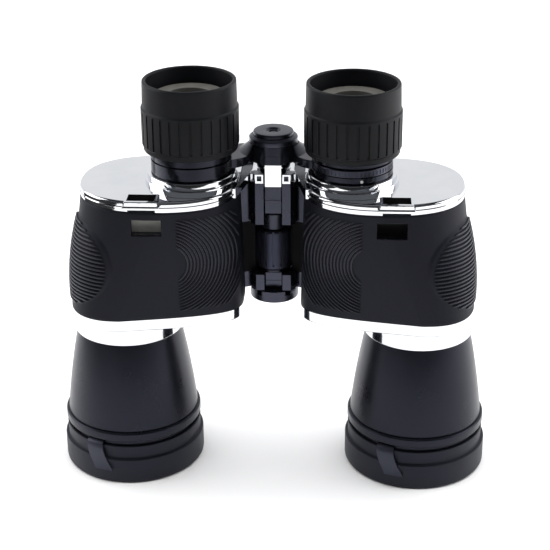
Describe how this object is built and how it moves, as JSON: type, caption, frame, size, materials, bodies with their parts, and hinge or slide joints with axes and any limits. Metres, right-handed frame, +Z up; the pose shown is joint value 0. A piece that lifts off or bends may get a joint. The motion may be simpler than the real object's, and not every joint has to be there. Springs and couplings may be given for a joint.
{
  "type": "porro prism binoculars",
  "caption": "Hinged Porro-prism binoculars with ribbed rubber armour, chrome covers, centre focus wheel, dioptre ring and capped objectives, standing eyepieces up",
  "frame": {"origin": "on the floor between the two objective caps, midway between the halves and, front to back, in the plane of the optical axes", "axes": "+X from the left half to the right half as seen from the front, +Z up along the optical axes towards the eyepieces, -Y towards the front, the side with the strap slots"},
  "size_m": [0.1954, 0.0657, 0.1815],
  "materials": {
    "armour_rubber": "satin",
    "soft_rubber": "matte",
    "wheel_metal": "matte",
    "black_paint": "satin",
    "chrome_trim": "polished",
    "black_metal": "matte",
    "steel_parts": "satin",
    "optical_glass": "polished"
  },
  "bodies": {
    "left_half": {"left_housing": "black_paint", "left_armour": "armour_rubber", "left_top_cover": "chrome_trim", "left_eyepiece_collar": "chrome_trim", "left_base_cover": "chrome_trim", "left_objective_barrel": "black_paint", "left_objective_lens": "optical_glass", "left_lens_ring": "black_metal", "left_upper_prism": "optical_glass", "left_lower_prism": "optical_glass", "left_prism_clips": "steel_parts", "left_strap_plate": "steel_parts", "hinge_tube": "steel_parts", "hinge_collar": "chrome_trim", "hinge_end_disc": "black_paint", "hinge_washer": "steel_parts", "hinge_spacer": "black_paint"},
    "right_half": {"right_housing": "black_paint", "right_armour": "armour_rubber", "right_top_cover": "chrome_trim", "right_eyepiece_collar": "chrome_trim", "right_base_cover": "chrome_trim", "right_objective_barrel": "black_paint", "right_objective_lens": "optical_glass", "right_lens_ring": "black_metal", "right_upper_prism": "optical_glass", "right_lower_prism": "optical_glass", "right_prism_clips": "steel_parts", "right_strap_plate": "steel_parts"},
    "focus_wheel": {"focus_wheel": "wheel_metal"},
    "left_bridge": {"left_bridge_arm": "black_paint", "focus_spindle": "steel_parts", "focus_key": "steel_parts", "bridge_cap": "black_paint", "cap_screw": "steel_parts", "left_eyepiece_tube": "black_paint", "left_eyecup": "soft_rubber", "left_eye_lens": "optical_glass", "left_eye_ring": "black_metal", "left_field_lens": "optical_glass"},
    "right_bridge": {"right_bridge_arm": "black_paint", "right_eyepiece_tube": "black_paint"},
    "dioptre_ring": {"dioptre_ring": "black_paint"},
    "right_ocular": {"right_ocular_tube": "black_paint", "right_eyecup": "soft_rubber", "right_eye_lens": "optical_glass", "right_eye_ring": "black_metal", "right_field_lens": "optical_glass"},
    "left_cap": {"left_objective_cap": "soft_rubber"},
    "right_cap": {"right_objective_cap": "soft_rubber"}
  },
  "joints": [
    {"name": "interpupillary_hinge", "type": "hinge", "parent": "left_half", "child": "right_half", "pos_m": [0, 0.015, 0], "axis": [0, 0, 1], "range_deg": [-38, 20]},
    {"name": "focus_turn", "type": "hinge", "parent": "left_half", "child": "focus_wheel", "pos_m": [0, 0.015, 0], "axis": [0, 0, 1], "range_deg": [0, 300]},
    {"name": "left_focus", "type": "slide", "parent": "left_half", "child": "left_bridge", "axis": [0, 0, 1], "range_m": [0, 0.008]},
    {"name": "right_focus", "type": "slide", "parent": "right_half", "child": "right_bridge", "axis": [0, 0, 1], "range_m": [0, 0.008]},
    {"name": "dioptre_turn", "type": "hinge", "parent": "right_bridge", "child": "dioptre_ring", "pos_m": [0.03485, 0, 0], "axis": [0, 0, 1], "range_deg": [-60, 60]},
    {"name": "dioptre_travel", "type": "slide", "parent": "right_bridge", "child": "right_ocular", "axis": [0, 0, 1], "range_m": [-0.0007, 0.0007]},
    {"name": "left_cap_pull", "type": "slide", "parent": "left_half", "child": "left_cap", "axis": [0, 0, -1], "range_m": [0, 0.03]},
    {"name": "right_cap_pull", "type": "slide", "parent": "right_half", "child": "right_cap", "axis": [0, 0, -1], "range_m": [0, 0.03]}
  ],
  "couplings": [
    {"joint": "focus_turn", "follows": "left_focus", "rad_per_m": 654.49},
    {"joint": "right_focus", "follows": "left_focus", "ratio": 1},
    {"joint": "dioptre_travel", "follows": "dioptre_turn", "m_per_rad": 0.0006589}
  ]
}
